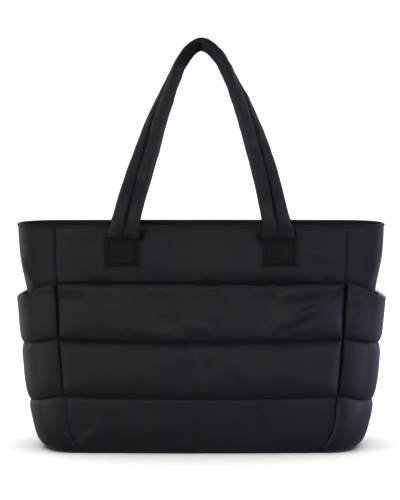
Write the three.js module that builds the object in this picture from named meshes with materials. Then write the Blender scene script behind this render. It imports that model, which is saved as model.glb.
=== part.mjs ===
// Quilted tote bag of black nylon: padded walls, a puffed slip pocket on the front, a puffed pocket on each
// gusset and two padded handles that are sewn to the panels by square tabs.
// Millimetres, +Z up. The front faces -Y, and the origin is on the floor under the middle of the bag.
import * as THREE from "three";

// Driving dimensions
const RIM_HEIGHT = 293;
const WALL = 3; // nylon, thin wadding and lining together
const SEAM_GAP = 1; // across a vertical seam, between the two pieces sewn together there
const EDGE_GAP = 0.4; // between a wall's edge and the base or the rim binding
const PANEL_BOW = 4; // how far the front and back walls bow out between their seams
const BAND_SWELL = 3.5; // wadding in the plain band above the pockets
const GUSSET_FULLNESS = 0.88; // 1 makes a gusset's plan half an ellipse, and less makes it boxier
const BASE_THICKNESS = 3;
const BASE_INSET = 1.2; // the bottom panel lies this far inside the walls' outer face
const RIM_BINDING = { height: 4, width: 4.6 };
const FLOOR_CLEARANCE = 1; // the pockets' lower edges stay this far off the floor

// Plan of the walls' outer face at several heights. halfWidth is at the middle of a gusset, seamHalfWidth at
// its two vertical seams, and halfDepth is how far those seams lie in front of or behind the middle.
const SECTIONS = [
  { height: 0, halfWidth: 204, seamHalfWidth: 152, halfDepth: 64 },
  { height: 20, halfWidth: 209, seamHalfWidth: 165, halfDepth: 68.5 },
  { height: 75, halfWidth: 215.5, seamHalfWidth: 174, halfDepth: 71 },
  { height: 140, halfWidth: 221.5, seamHalfWidth: 180, halfDepth: 72 },
  { height: 207, halfWidth: 228.4, seamHalfWidth: 183.3, halfDepth: 71 },
  { height: 250, halfWidth: 236.8, seamHalfWidth: 185.8, halfDepth: 69 },
  { height: 293, halfWidth: 239.3, seamHalfWidth: 187.3, halfDepth: 66.5 },
];

// Quilting lines from the floor up, each with its height at the vertical seams and half way between them.
// The last line of a pocket is its open edge.
const FRONT_LINES = [
  { seam: FLOOR_CLEARANCE, middle: FLOOR_CLEARANCE },
  { seam: 76, middle: 75 },
  { seam: 149, middle: 147 },
  { seam: 219.6, middle: 219 },
];
const SIDE_LINES = [
  { seam: FLOOR_CLEARANCE, middle: FLOOR_CLEARANCE },
  { seam: 76, middle: 63 },
  { seam: 149, middle: 137.5 },
  { seam: 219.6, middle: 198.5 },
];
const BAND_FOOT = FRONT_LINES.at(-1).middle;
const SIDE_DIP_SHARPNESS = 1.3;

// Quilted layers. slack is the room between a pocket and the wall behind it, and swell is how far the
// wadding stands out in the middle of a channel.
const FRONT_QUILT = { slack: 8, swell: 11.5, edgeRoll: 26, lines: FRONT_LINES };
const SIDE_QUILT = { slack: 6.8, swell: 4.4, edgeRoll: 20, lines: SIDE_LINES };
const BACK_QUILT = { swell: 12, edgeRoll: 26, lines: FRONT_LINES };
const POCKET_SEAM_GAP = 0.8; // from a pocket's sewn edges to the wall behind them
const ROOM_FOOT = 0.5; // a pocket has its full room above this share of its height
const SWELL_SHARPNESS = 0.75; // below 1 a channel rises steeply from its seams
const OPEN_EDGE = { roundedFrom: 0.82, swellLeft: 0.3 }; // shares of an open channel's height and swell

// The broadest folds of the front pocket: ridges that stand out by rise, or creases where it is negative.
const FRONT_FOLDS = [
  { x: 131, height: 183, length: 52, angleDeg: 30, width: 11, rise: 2.6 },
  { x: 126, height: 208, length: 64, angleDeg: 11, width: 9, rise: 2.2 },
  { x: 118, height: 166, length: 50, angleDeg: 22, width: 9, rise: -2 },
  { x: -4, height: 165, length: 40, angleDeg: -14, width: 9, rise: 2 },
  { x: 42, height: 119, length: 44, angleDeg: -46, width: 10, rise: 1.8 },
  { x: -136, height: 27, length: 34, angleDeg: 42, width: 9, rise: -3 },
];

// Handles. A strap is sewn flat to its panel at each foot and turns on the way up, until it lies flat at the
// apex. spread is the distance of each leg from the arch's middle, which itself leans by sway. forward is how
// far the strap stands off the bag's middle plane, and turnDeg how far its seamed face has turned from facing
// that way towards the outside of the arch.
const STRAP_GROOVE = 3.6; // depth of the seam down the outer face, where the strap is fully padded
const STRAP_PADDING = 16; // thickness of a fully padded strap
const STRAP_ROUNDNESS = 0.72; // 1 makes a strap's section an ellipse, and less makes it boxier
const REAR_SPLAY = 1200; // the rear handle's legs stand wider by forward / REAR_SPLAY
const STRAP_STATIONS = [
  { height: 279, spread: 99.2, sway: 0, forward: 75.4, width: 41, thickness: 5.5, turnDeg: 0 },
  { height: 288, spread: 97, sway: 0, forward: 78.6, width: 37.5, thickness: 10.5, turnDeg: 3 },
  { height: 298, spread: 95, sway: 0, forward: 81, width: 35, thickness: 15, turnDeg: 6 },
  { height: 313, spread: 91.6, sway: 0.2, forward: 80.5, width: 34.5, thickness: 16.5, turnDeg: 12 },
  { height: 351, spread: 82, sway: 1.5, forward: 68, width: 34.5, thickness: 16.5, turnDeg: 22 },
  { height: 389, spread: 70.7, sway: 2.2, forward: 55, width: 34.5, thickness: 16.5, turnDeg: 34 },
  { height: 427, spread: 58.5, sway: 2, forward: 43, width: 34.5, thickness: 16.5, turnDeg: 54 },
  { height: 452.5, spread: 48.7, sway: 2.2, forward: 36, width: 34.5, thickness: 16.5, turnDeg: 66 },
  { height: 478, spread: 37.9, sway: 1.7, forward: 29.5, width: 34.5, thickness: 16, turnDeg: 82 },
  { height: 504, spread: 25.1, sway: 1.2, forward: 23.5, width: 34.5, thickness: 16, turnDeg: 90 },
  { height: 519, spread: 13, sway: 0.9, forward: 20.4, width: 34.5, thickness: 16, turnDeg: 90 },
  { height: 525.2, spread: 0, sway: 0.8, forward: 19.5, width: 34.5, thickness: 16, turnDeg: 90 },
];
const TAB = { width: 42.5, bottom: 240.7, top: 278.4, thickness: 1.8, gap: 0.5, spread: 100 };

// Cells of the solids
const PANEL_COLUMNS = 14;
const POCKET_COLUMNS = 22;
const GUSSET_COLUMNS = 10;
const PANEL_ROWS = 12;
const ROW_CROWDING = 1.4; // above 1 a wall's rows are closer together near the base
const ROWS_PER_CHANNEL = 7;
const BAND_ROWS = 5;
const LAP_CELLS = 60; // round the rim and the base
const STRAP_SIDES = 12;
const STRAP_STEPS = 44;
const TAB_CELLS = 4;

// Finishes
const SHELL_NYLON = { color: 0x26272b, roughness: 0.62, metalness: 0 };
const QUILTED_NYLON = { color: 0x25262a, roughness: 0.58, metalness: 0 };
const STRAP_NYLON = { color: 0x222326, roughness: 0.65, metalness: 0 };
const TAB_NYLON = { color: 0x1e1f23, roughness: 0.68, metalness: 0 };

const { lerp, clamp, degToRad, smoothstep } = THREE.MathUtils;

// Moves each corner of a geometry to where place says. Closed geometries stay closed.
function bend(geometry, place) {
  const corners = geometry.getAttribute("position");
  const corner = new THREE.Vector3();
  for (let i = 0; i < corners.count; i++) {
    const moved = place(corner.fromBufferAttribute(corners, i));
    corners.setXYZ(i, moved.x, moved.y, moved.z);
  }
  geometry.computeVertexNormals();
  return geometry;
}

// A wall bent from a box of cells. place gets u and v, from 0 to 1 along and up the wall, and which face.
function bentWall(columns, rows, place) {
  const box = new THREE.BoxGeometry(1, 1, 1, columns, 1, rows);
  return bend(box, ({ x, y, z }) => place(x + 0.5, z + 0.5, y < 0));
}

const sectionCurve = new THREE.CubicInterpolant(
  SECTIONS.map((row) => row.height),
  SECTIONS.flatMap((row) => [row.halfWidth, row.seamHalfWidth, row.halfDepth]),
  3,
);

function sectionAt(height) {
  const [halfWidth, seamHalfWidth, halfDepth] = sectionCurve.evaluate(height);
  return { halfWidth, seamHalfWidth, halfDepth };
}

// From -1 at a panel's left seam to 1 at its right one, with the cells closer together near the seams.
const acrossAt = (u) => lerp(2 * u - 1, Math.sin((u - 0.5) * Math.PI), 0.5);

// A point of the front wall, out in front of its outer face. across runs from -1 to 1 between its seams.
function frontPoint(across, height, out) {
  const { seamHalfWidth, halfDepth } = sectionAt(height);
  const bow = PANEL_BOW * (1 - across * across);
  return new THREE.Vector3(across * (seamHalfWidth - SEAM_GAP / 2), -(halfDepth + bow + out), height);
}

// A point of the right gusset, out beyond its outer face. u runs from the front seam to the back one.
function gussetPoint(u, height, out) {
  const { halfWidth, seamHalfWidth, halfDepth } = sectionAt(height);
  const angle = (u - 0.5) * Math.PI;
  const seam = seamHalfWidth + SEAM_GAP / 2;
  const sideways = Math.max(0, Math.cos(angle)) ** GUSSET_FULLNESS;
  const deep = Math.sign(angle) * Math.abs(Math.sin(angle)) ** GUSSET_FULLNESS;
  return new THREE.Vector3(seam + (halfWidth - seam + out) * sideways, (halfDepth + out) * deep, height);
}

// A point of the whole outline. lap runs from 0 to 4: front, right gusset, back, left gusset.
function outlinePoint(lap, height, out) {
  const wall = Math.floor(lap) % 4;
  const u = lap - Math.floor(lap);
  const point = wall % 2 === 0 ? frontPoint(acrossAt(u), height, out) : gussetPoint(u, height, out);
  return wall < 2 ? point : point.set(-point.x, -point.y, point.z);
}

// How far the wadding swells the plain band of the front and back above the pockets.
function bandSwell(across, height) {
  const share = clamp((height - BAND_FOOT) / (RIM_HEIGHT - RIM_BINDING.height - BAND_FOOT), 0, 1);
  return BAND_SWELL * Math.sin(Math.PI * share) * (1 - across ** 4);
}

// A channel's swell from 0 at its seams to 1: a sewn channel is rounded, and one with an open edge stays
// full almost to that edge.
function channelSwell(share, open) {
  if (!open) return Math.max(0, Math.sin(Math.PI * share)) ** SWELL_SHARPNESS;
  const rise = Math.sin((Math.PI / 2) * clamp(share / 0.5, 0, 1)) ** SWELL_SHARPNESS;
  return rise * lerp(1, OPEN_EDGE.swellLeft, smoothstep(share, OPEN_EDGE.roundedFrom, 1));
}

// The swell near a vertical seam, from 0 on it to 1 further than roll from it.
function seamRoll(distance, roll) {
  return Math.sqrt(1 - (1 - clamp(distance / roll, 0, 1)) ** 2);
}

// Where a grid row of a quilted layer lies: its share of its channel, whether that channel is open at the
// top, and its height.
function quiltRow(lines, v, dip) {
  const channels = lines.length - 1;
  const channel = Math.min(channels - 1, Math.floor(v * channels + 1e-6));
  const share = clamp(v * channels - channel, 0, 1);
  const [low, high] = [lines[channel], lines[channel + 1]].map((line) => lerp(line.seam, line.middle, dip));
  return { share, open: channel === channels - 1, height: lerp(low, high, share) };
}

// How far the folds of the front pocket raise or crease it at a place.
function foldRise(x, height) {
  return FRONT_FOLDS.reduce((total, fold) => {
    const angle = degToRad(fold.angleDeg);
    const along = (x - fold.x) * Math.cos(angle) + (height - fold.height) * Math.sin(angle);
    const beside = (height - fold.height) * Math.cos(angle) - (x - fold.x) * Math.sin(angle);
    return total + fold.rise * Math.exp(-((beside / fold.width) ** 2) - (2 * along / fold.length) ** 4);
  }, 0);
}

const sideDip = (u) => Math.max(0, Math.cos((u - 0.5) * Math.PI)) ** SIDE_DIP_SHARPNESS;
const frontDip = (across) => 1 - across ** 2;

// How deep a pocket's room is: none along its sewn edges, all of it at the open edge.
const pocketRoom = (quilt, v, fullness) =>
  POCKET_SEAM_GAP + quilt.slack * smoothstep(v, 0, ROOM_FOOT) * fullness;

// The height of a wall's grid row, v of the way up.
const WALL_FOOT = BASE_THICKNESS + EDGE_GAP;
const WALL_HEAD = RIM_HEIGHT - RIM_BINDING.height - EDGE_GAP;
const wallHeight = (v) => lerp(WALL_FOOT, WALL_HEAD, v ** ROW_CROWDING);

function frontPanel() {
  return bentWall(PANEL_COLUMNS, PANEL_ROWS, (u, v, outside) => {
    const across = acrossAt(u);
    const height = wallHeight(v);
    return frontPoint(across, height, bandSwell(across, height) - (outside ? 0 : WALL));
  });
}

// The back wall, made in the front's place: quilted channels below a plain band, in one piece.
function backPanel() {
  const quiltRows = ROWS_PER_CHANNEL * (BACK_QUILT.lines.length - 1);
  const quiltShare = quiltRows / (quiltRows + BAND_ROWS);
  return bentWall(PANEL_COLUMNS, quiltRows + BAND_ROWS, (u, v, outside) => {
    const across = acrossAt(u);
    const row = quiltRow(BACK_QUILT.lines, Math.min(1, v / quiltShare), frontDip(across));
    const inBand = v > quiltShare;
    const bandHeight = lerp(row.height, WALL_HEAD, (v - quiltShare) / (1 - quiltShare));
    const height = inBand ? bandHeight : Math.max(WALL_FOOT, row.height);
    const roll = seamRoll((1 - Math.abs(across)) * sectionAt(height).seamHalfWidth, BACK_QUILT.edgeRoll);
    const plain = inBand ? bandSwell(across, height) : 0;
    const quilted = inBand ? 0 : BACK_QUILT.swell * channelSwell(row.share, false) * roll;
    return frontPoint(across, height, outside ? plain + quilted : plain - WALL);
  });
}

function gusset() {
  return bentWall(GUSSET_COLUMNS, PANEL_ROWS, (u, v, outside) =>
    gussetPoint(u, wallHeight(v), outside ? 0 : -WALL),
  );
}

function frontPocket() {
  const rows = ROWS_PER_CHANNEL * (FRONT_QUILT.lines.length - 1);
  return bentWall(POCKET_COLUMNS, rows, (u, v, outside) => {
    const across = acrossAt(u);
    const row = quiltRow(FRONT_QUILT.lines, v, frontDip(across));
    const { seamHalfWidth } = sectionAt(row.height);
    const roll = seamRoll((1 - Math.abs(across)) * seamHalfWidth, FRONT_QUILT.edgeRoll);
    const inner = pocketRoom(FRONT_QUILT, v, 1 - across ** 4);
    const fullness = channelSwell(row.share, row.open) * roll;
    const swell = (FRONT_QUILT.swell + foldRise(across * seamHalfWidth, row.height)) * fullness;
    return frontPoint(across, row.height, outside ? inner + WALL + swell : inner);
  });
}

function sidePocket() {
  const rows = ROWS_PER_CHANNEL * (SIDE_QUILT.lines.length - 1);
  return bentWall(GUSSET_COLUMNS, rows, (u, v, outside) => {
    const row = quiltRow(SIDE_QUILT.lines, v, sideDip(u));
    const toSeam = Math.min(u, 1 - u) * Math.PI * sectionAt(row.height).halfDepth;
    const roll = seamRoll(toSeam, SIDE_QUILT.edgeRoll);
    const inner = pocketRoom(SIDE_QUILT, v, sideDip(u));
    const swell = SIDE_QUILT.swell * channelSwell(row.share, row.open) * roll;
    return gussetPoint(u, row.height, outside ? inner + WALL + swell : inner);
  });
}

function basePanel() {
  const disc = new THREE.CylinderGeometry(1, 1, 1, LAP_CELLS).rotateX(Math.PI / 2);
  return bend(disc, ({ x, y, z }) => {
    const height = z > 0 ? BASE_THICKNESS : 0;
    if (Math.hypot(x, y) < 0.5) return new THREE.Vector3(0, 0, height);
    return outlinePoint(lapAt(x, y), 0, -BASE_INSET).setZ(height);
  });
}

// The lap of the outline that a direction in plan stands for. The left front seam is at lap 0.
function lapAt(x, y) {
  const turn = Math.atan2(y, x) / (2 * Math.PI);
  return (Math.round(((turn + 1) % 1) * LAP_CELLS) * 4) / LAP_CELLS;
}

function rimBinding() {
  const tube = 0.25;
  const ring = new THREE.TorusGeometry(1, tube, 8, LAP_CELLS);
  return bend(ring, ({ x, y, z }) => {
    const outward = (Math.hypot(x, y) - 1) / tube;
    const out = -WALL / 2 + (outward * RIM_BINDING.width) / 2;
    const height = RIM_HEIGHT + ((z / tube - 1) * RIM_BINDING.height) / 2;
    return outlinePoint(lapAt(x, y), RIM_HEIGHT, out).setZ(height);
  });
}

// Both legs of a strap as one run of stations, from the left foot over the apex to the right foot. facing is
// -1 for the front handle and 1 for the rear one.
function strapRun(facing) {
  const leg = (side) =>
    STRAP_STATIONS.map((station) => {
      const splay = facing > 0 ? 1 + station.forward / REAR_SPLAY : 1;
      return { ...station, x: side * station.spread * splay + station.sway, y: facing * station.forward };
    });
  return [...leg(-1), ...leg(1).reverse().slice(1)];
}

function handle(facing) {
  const run = strapRun(facing);
  const path = new THREE.CatmullRomCurve3(run.map(({ x, y, height }) => new THREE.Vector3(x, y, height)));
  const between = (t, key) => {
    const place = clamp(t, 0, 1) * (run.length - 1);
    const i = Math.min(run.length - 2, Math.floor(place));
    return lerp(run[i][key], run[i + 1][key], place - i);
  };
  const rounded = (value) => Math.sign(value) * Math.abs(value) ** STRAP_ROUNDNESS;
  const rod = new THREE.CylinderGeometry(1, 1, 1, STRAP_SIDES, STRAP_STEPS);
  return bend(rod, ({ x, y, z }) => {
    const t = y + 0.5;
    const along = path.getTangent(t);
    const off = new THREE.Vector3(0, facing, 0).projectOnPlane(along).normalize();
    const outward = new THREE.Vector3().crossVectors(off, along).multiplyScalar(-facing);
    const turn = degToRad(between(t, "turnDeg"));
    const face = off.multiplyScalar(Math.cos(turn)).addScaledVector(outward, Math.sin(turn));
    const across = new THREE.Vector3().crossVectors(along, face);
    const sideways = (rounded(x) * between(t, "width")) / 2;
    const groove = z > 0.9 ? STRAP_GROOVE * clamp(between(t, "thickness") / STRAP_PADDING, 0, 1) : 0;
    const lift = (rounded(z) * between(t, "thickness")) / 2 - groove;
    const point = path.getPoint(t).addScaledVector(across, sideways).addScaledVector(face, lift);
    return Math.abs(y) < 0.499 ? point : point.setZ(run[0].height);
  });
}

// A sewn tab, bent to the front panel's face.
function tab(middle) {
  return bentWall(TAB_CELLS, TAB_CELLS, (u, v, outside) => {
    const height = lerp(TAB.bottom, TAB.top, v);
    const x = middle + (u - 0.5) * TAB.width;
    const across = x / (sectionAt(height).seamHalfWidth - SEAM_GAP / 2);
    const out = bandSwell(across, height) + TAB.gap + (outside ? TAB.thickness : 0);
    return frontPoint(across, height, out);
  });
}

const bag = new THREE.Group();
const behind = new THREE.Group(); // holds what the front and right pieces become when turned half round
behind.rotation.z = Math.PI;
bag.add(behind);

function add(parent, name, geometry, finish) {
  const mesh = new THREE.Mesh(geometry, new THREE.MeshStandardMaterial(finish));
  mesh.name = name;
  parent.add(mesh);
}

add(bag, "base_panel", basePanel(), SHELL_NYLON);
add(bag, "front_panel", frontPanel(), SHELL_NYLON);
add(behind, "back_panel", backPanel(), QUILTED_NYLON);
add(bag, "right_gusset", gusset(), SHELL_NYLON);
add(behind, "left_gusset", gusset(), SHELL_NYLON);
add(bag, "front_pocket", frontPocket(), QUILTED_NYLON);
add(bag, "right_pocket", sidePocket(), QUILTED_NYLON);
add(behind, "left_pocket", sidePocket(), QUILTED_NYLON);
add(bag, "rim_binding", rimBinding(), SHELL_NYLON);
add(bag, "front_handle", handle(-1), STRAP_NYLON);
add(bag, "back_handle", handle(1), STRAP_NYLON);
add(bag, "front_left_tab", tab(-TAB.spread), TAB_NYLON);
add(bag, "front_right_tab", tab(TAB.spread), TAB_NYLON);
const rearSpread = TAB.spread * (1 + STRAP_STATIONS[0].forward / REAR_SPLAY);
add(behind, "back_right_tab", tab(-rearSpread), TAB_NYLON);
add(behind, "back_left_tab", tab(rearSpread), TAB_NYLON);

// The front pocket stands out further than the back does, so the bag is set over the middle of its own box.
const middle = new THREE.Box3().setFromObject(bag).getCenter(new THREE.Vector3());
bag.position.set(-middle.x, -middle.y, 0);

export default bag;
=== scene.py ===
"""Dresses the solids of a quilted tote bag in padded black nylon and sets it in a white studio.

Metres, +Z up. The front faces -Y, and the origin is on the floor under the middle of the bag.
"""
import math
from typing import NamedTuple

import bmesh
import bpy
import numpy as np
from bpy.props import FloatProperty, FloatVectorProperty, IntProperty, PointerProperty
from mathutils import Matrix, Vector, noise


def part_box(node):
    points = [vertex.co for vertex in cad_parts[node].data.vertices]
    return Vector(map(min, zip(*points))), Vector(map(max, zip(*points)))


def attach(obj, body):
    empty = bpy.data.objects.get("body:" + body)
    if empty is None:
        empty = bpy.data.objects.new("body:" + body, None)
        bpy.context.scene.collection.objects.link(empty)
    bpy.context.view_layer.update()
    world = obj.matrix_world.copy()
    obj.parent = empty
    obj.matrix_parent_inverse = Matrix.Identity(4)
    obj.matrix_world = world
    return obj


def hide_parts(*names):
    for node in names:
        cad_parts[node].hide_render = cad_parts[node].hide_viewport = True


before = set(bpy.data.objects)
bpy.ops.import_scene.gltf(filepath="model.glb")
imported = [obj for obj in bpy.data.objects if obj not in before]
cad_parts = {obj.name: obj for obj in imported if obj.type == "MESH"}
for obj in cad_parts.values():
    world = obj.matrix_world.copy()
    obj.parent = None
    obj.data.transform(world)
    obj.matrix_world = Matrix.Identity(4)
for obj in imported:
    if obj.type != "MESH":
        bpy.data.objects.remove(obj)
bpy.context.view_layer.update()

bl_info = {
    "name": "Quilted Tote Bag",
    "version": (1, 0, 0),
    "blender": (4, 5, 0),
    "location": "3D View > Sidebar > Tote Bag",
    "description": "Dresses the solids of a quilted tote bag in padded nylon and sets it in a white studio",
    "category": "Object",
}

# The bag's middle plane, between its front and back walls
MIDDLE_Y = sum(corner.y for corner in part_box("base_panel")) / 2

# Driving sizes
RIM_HEIGHT = 0.293
WALL = 0.003  # nylon, thin wadding and lining together
PRESSED_WALL = 0.0009  # the same where sewing presses it flat
PANEL_BOW = 0.004  # of the front and the back, half way between their seams
BAND_SWELL = 0.0035  # of the plain band above the pockets
GUSSET_FULLNESS = 0.88  # 1 for a gusset that is half an ellipse in plan, less for a squarer one
BASE_THICKNESS = 0.003
BASE_INSET = 0.0012  # of the base's edge from the walls' outer face
BASE_EDGE_ROUND = 0.0008
BINDING_HEIGHT = 0.004
BINDING_WIDTH = 0.0046
BINDING_ROUNDNESS = 0.6  # 1 for a round binding, less for a squarer one
WALL_FOOT = BASE_THICKNESS / 2
WALL_HEAD = RIM_HEIGHT - BINDING_HEIGHT / 2  # the walls' edges lie inside the binding

# Flat sizes of the sheets
FRONT_FLAT = (0.374, 0.288)  # where it is widest, and up the wall

# Sizes of the maps that the weave follows
BACK_CLOTH = (0.374, 0.32)
GUSSET_CLOTH = (0.216, 0.288)
FRONT_POCKET_CLOTH = (0.374, 0.245)
SIDE_POCKET_CLOTH = (0.225, 0.225)
BINDING_CLOTH = (1.13, 0.014)
STRAP_GIRTH = 0.09


class Section(NamedTuple):
    """Plan of the walls' outer face at one height."""

    height: float
    half_width: float  # at the middle of a gusset
    seam_half_width: float  # at a gusset's two vertical seams
    half_depth: float  # how far those seams lie in front of or behind the middle


SECTIONS = (
    Section(0.000, 0.2040, 0.1520, 0.0640),
    Section(0.020, 0.2090, 0.1650, 0.0685),
    Section(0.075, 0.2155, 0.1740, 0.0710),
    Section(0.140, 0.2215, 0.1800, 0.0720),
    Section(0.207, 0.2284, 0.1833, 0.0710),
    Section(0.250, 0.2368, 0.1858, 0.0690),
    Section(0.293, 0.2393, 0.1873, 0.0665),
)


class Line(NamedTuple):
    """A quilting line's height at the vertical seams and half way between them."""

    seam: float
    middle: float

    def height(self, dip):
        """Its height, where dip runs from 0 at the seams to 1 half way between them."""
        return between(self.seam, self.middle, dip)


FRONT_LINES = (Line(0.001, 0.001), Line(0.0750, 0.0730), Line(0.1480, 0.1453), Line(0.2184, 0.2178))
SIDE_LINES = (Line(0.001, 0.006), Line(0.076, 0.063), Line(0.149, 0.1375), Line(0.2196, 0.1985))
BAND_FOOT = FRONT_LINES[-1].middle
SIDE_DIP_SHARPNESS = 1.3


class Quilt(NamedTuple):
    """A quilted layer."""

    slack: float  # room between a pocket and the wall behind it
    swell: float  # how far the wadding stands out in the middle of a channel
    edge_roll: float  # how far from its vertical seams the layer is full
    fill: float  # from 0 for a slack layer to 1 for a tight one
    lines: tuple


FRONT_QUILT = Quilt(0.0080, 0.0092, 0.018, 0.6, FRONT_LINES)
SIDE_QUILT = Quilt(0.0068, 0.0044, 0.012, 0.55, SIDE_LINES)
BACK_QUILT = Quilt(0.0, 0.0098, 0.018, 0.6, FRONT_LINES)
LEFT_SWELL = 0.0034  # the left pocket is a little flatter than the right one
POCKET_SEAM_GAP = 0.0008  # between a pocket's sewn edges and the wall
SEAM_SLITS = (0.0003, 0.0012)  # from the left and right seams to the front pocket, at its open edge
SLIT_FOOT = 0.4  # share of those slits that is left at its foot
EDGE_ROLL = 0.0018  # the cloth and its thin wadding reach their full thickness this far from a seam
SEAM_DEPTH = 0.0024  # of the groove where a wall is sewn to the next one
SEAM_HALF_WIDTH = 0.0030
SEAM_FILLS = (0.80, 0.60)  # how full the pockets are right at the left and right seams, at their foot
SEAM_STIFF_SHARE = 0.125  # of the half width: the front's cloth this close to its seams stays smoother
HEAD_STIFF_HEIGHT = 0.012  # and a wall's cloth this close below the binding
BAND_STIFF_SHARE = 0.3  # and the back's cloth this close to the edges of its band
TUCK_DEPTH = 0.0026  # of the line where a wall draws back above a pocket's open edge
TUCK_HALF_HEIGHT = 0.0028
ROOM_FOOT = 0.5  # share of a pocket's height over which its room opens
CREST_SHIFT = 1.05  # above 1 a channel's crest is above its middle
CHANNEL_POWER = 4.0  # 2 for a round channel, more for a flatter one
CHANNEL_ROOT = 2.0  # 1 for a channel that rises gently from its seams, more for a steeper one
ROLL_POWER = 2.6  # 2 for a round roll at a vertical seam, more for a flatter one
FRONT_FULLNESS = (0.22, 0.90, 1.0)  # of the front's channels, from the lowest
FRONT_POWERS = (8.0, 4.0, 4.0)  # the lowest channel is the flattest
FRONT_CREASES = (0.5, 0.5, 0.65)  # how much those channels crease
LINE_SINKS = (0.0022, 0.0)  # how far the front's lower and upper quilting lines draw in
LINE_SINK_REACH = 0.0022
LIP_RADIUS = 0.0018  # of the soft fold along a pocket's open edge
LIP_FLARE = 0.0026  # how far the front pocket leans out at that edge
LIP_FLARE_HEIGHT = 0.022  # and how far below it that starts
LIP_HELD = 0.0040  # the binding of that edge keeps the cloth this close to it smooth
LIP_DIP = 0.0013  # how far that edge hangs down where it gapes
LIP_DIP_REACH = 4 * LIP_DIP
LIP_GAPES = (-0.128, 0.009, 0.072, 0.107, 0.163)  # across the front
GAPE_HALF_LENGTH = 0.013


class Fold(NamedTuple):
    """A ridge that stands out of the cloth by rise, or a crease where rise is negative."""

    x: float
    height: float
    length: float
    angle: float  # degrees up from the horizontal
    width: float
    rise: float


FRONT_FOLDS = (
    Fold(0.131, 0.183, 0.056, 30, 0.0080, 0.0032),
    Fold(0.126, 0.208, 0.068, 11, 0.0065, 0.0022),
    Fold(0.118, 0.166, 0.054, 22, 0.0065, -0.0022),
    Fold(0.136, 0.195, 0.036, 16, 0.0055, -0.0020),
    Fold(-0.004, 0.165, 0.040, -14, 0.0060, 0.0020),
    Fold(0.042, 0.119, 0.044, -46, 0.0080, 0.0010),
    Fold(-0.142, 0.022, 0.034, 42, 0.0070, 0.0110),
    Fold(-0.010, 0.139, 0.016, 84, 0.0040, -0.0022),
    Fold(0.057, 0.137, 0.016, 98, 0.0040, -0.0022),
    Fold(-0.018, 0.066, 0.016, 82, 0.0045, -0.0020),
    Fold(0.083, 0.066, 0.016, 95, 0.0040, -0.0018),
    Fold(-0.060, 0.175, 0.090, -6, 0.0120, -0.0016),
    Fold(-0.118, 0.196, 0.050, -32, 0.0100, 0.0014),
    Fold(0.096, 0.104, 0.060, 12, 0.0090, 0.0009),
)
BAND_FOLDS = (
    Fold(-0.075, 0.240, 0.050, 92, 0.0050, 0.0030),
    Fold(-0.058, 0.239, 0.030, 96, 0.0045, 0.0024),
    Fold(-0.044, 0.246, 0.056, 88, 0.0070, -0.0026),
    Fold(-0.128, 0.220, 0.030, 4, 0.0060, -0.0022),
    Fold(0.009, 0.220, 0.020, -4, 0.0055, -0.0020),
    Fold(0.074, 0.221, 0.040, 3, 0.0060, -0.0022),
    Fold(0.114, 0.220, 0.040, -3, 0.0060, -0.0028),
    Fold(0.163, 0.222, 0.020, 8, 0.0060, -0.0024),
    Fold(-0.0757, 0.2855, 0.024, 63, 0.0042, -0.0060),
    Fold(0.0750, 0.2850, 0.022, 98, 0.0036, -0.0055),
    Fold(0.1175, 0.2865, 0.018, 80, 0.0036, -0.0050),
    Fold(0.040, 0.252, 0.050, 74, 0.0120, 0.0024),
    Fold(0.150, 0.258, 0.060, -14, 0.0100, 0.0022),
    Fold(-0.150, 0.262, 0.060, 10, 0.0120, 0.0020),
)
# On a gusset x is measured along GUSSET_CLOTH, from its middle to its back seam
LEFT_GUSSET_FOLDS = (
    Fold(0.052, 0.229, 0.050, -43, 0.0075, 0.0026),
    Fold(0.072, 0.262, 0.036, 12, 0.0080, 0.0016),
)
RIGHT_GUSSET_FOLDS = (
    Fold(-0.056, 0.228, 0.048, 48, 0.0080, 0.0018),
    Fold(-0.070, 0.274, 0.030, 84, 0.0070, -0.0014),
)


class Station(NamedTuple):
    """A strap's place and section at one height."""

    height: float
    spread: float  # of each leg from the arch's middle
    sway: float  # of that middle to the right
    forward: float  # off the bag's middle plane
    width: float
    thickness: float
    turn: float  # degrees that the seamed face has turned from facing forward to facing out of the arch


STRAP_STATIONS = (
    Station(0.2790, 0.0992, 0.0000, 0.0754, 0.0410, 0.0055, 0),
    Station(0.2880, 0.0970, 0.0000, 0.0786, 0.0375, 0.0105, 3),
    Station(0.2980, 0.0950, 0.0000, 0.0810, 0.0350, 0.0150, 6),
    Station(0.3130, 0.0916, 0.0002, 0.0805, 0.0345, 0.0165, 12),
    Station(0.3510, 0.0820, 0.0015, 0.0680, 0.0345, 0.0165, 22),
    Station(0.3890, 0.0707, 0.0022, 0.0550, 0.0345, 0.0165, 34),
    Station(0.4270, 0.0585, 0.0020, 0.0430, 0.0345, 0.0165, 54),
    Station(0.4525, 0.0487, 0.0022, 0.0360, 0.0345, 0.0165, 66),
    Station(0.4780, 0.0379, 0.0017, 0.0295, 0.0345, 0.0160, 82),
    Station(0.5040, 0.0251, 0.0012, 0.0235, 0.0345, 0.0160, 90),
    Station(0.5190, 0.0130, 0.0009, 0.0204, 0.0345, 0.0160, 90),
    Station(0.5252, 0.0000, 0.0008, 0.0195, 0.0345, 0.0160, 90),
)
STRAP_PADDING = 0.016
STRAP_GROOVE = 0.0044
STRAP_GROOVE_HALF_WIDTH = 0.0016
STRAP_ROUNDNESS = 0.72  # 1 for a round strap, less for a squarer one
STRAP_FOOT = (0.03, 0.08)  # shares of its length: smooth up to the first, uneven from the second
REAR_SPLAY = 1.2  # how far behind the bag's middle the rear handle would be twice as wide
APEX_SLANT = 0.020
APEX_SLANT_START = (0.415, 0.438)  # shares of the strap's length
APEX_SLANT_END = (0.484, 0.513)

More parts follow.
